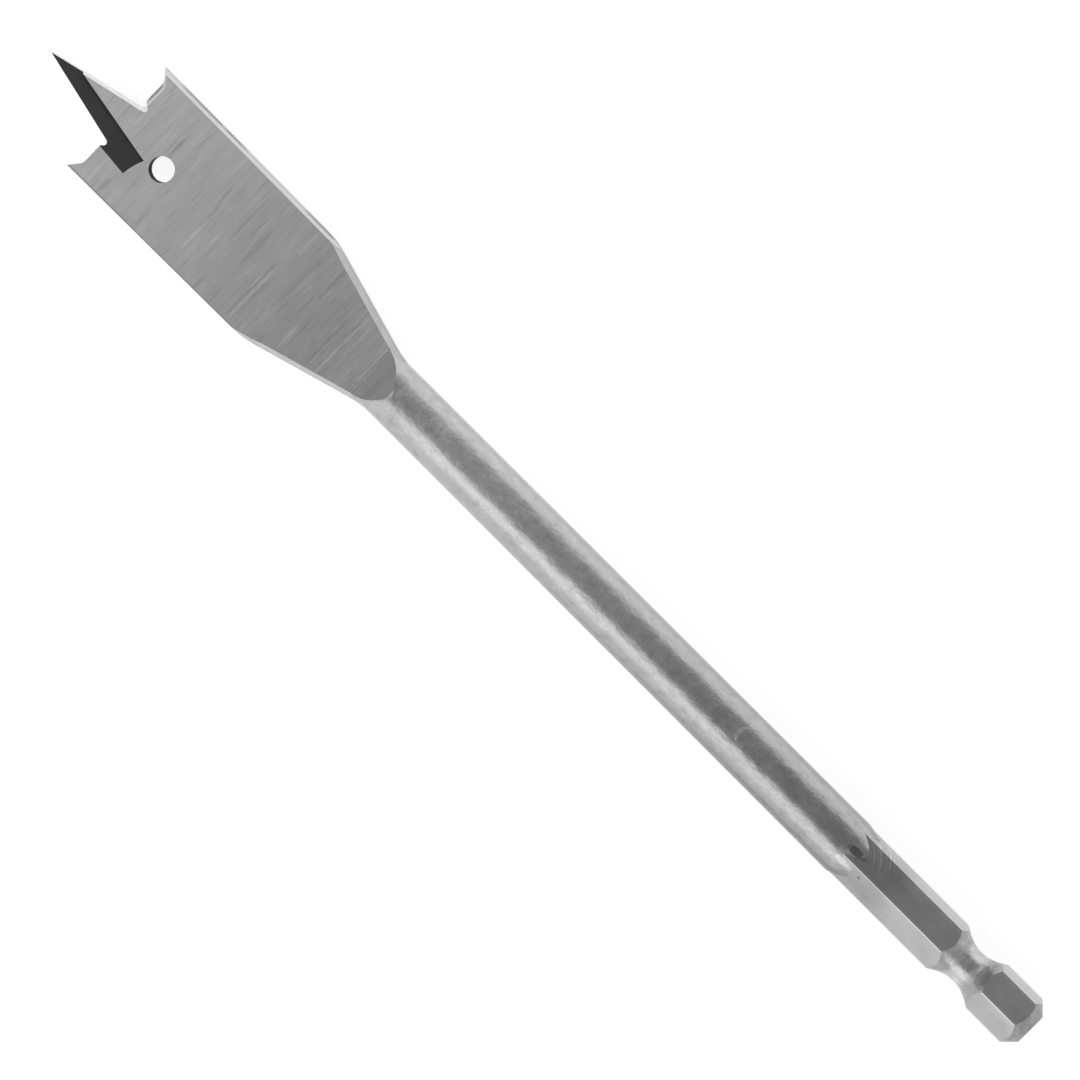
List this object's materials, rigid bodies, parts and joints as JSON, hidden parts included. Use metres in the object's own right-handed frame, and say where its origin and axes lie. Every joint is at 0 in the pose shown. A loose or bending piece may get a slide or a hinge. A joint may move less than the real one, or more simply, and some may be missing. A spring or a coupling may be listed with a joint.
{
  "type": "spade drill bit",
  "caption": "Flat wood-boring bit: a spade blade with a centre point, cutting shoulders and corner spurs, on a round rod with a hexagonal quick-change shank.",
  "frame": {"origin": "centre of the shank's end face, on the tool's axis", "axes": "+X along the tool's axis from the shank to the tip; +Z out of the blade's face; +Y towards the half of the blade whose cutting edges lie on the +Z face. The half at -Y is the same shape turned half a turn about X."},
  "size_m": [0.16, 0.016, 0.0074],
  "materials": {
    "ground_steel": "ground bare steel: grinding lines across the blade, satin rod, dark gashes at the point"
  },
  "bodies": {
    "root": {"spade_bit": "ground_steel"}
  },
  "joints": []
}
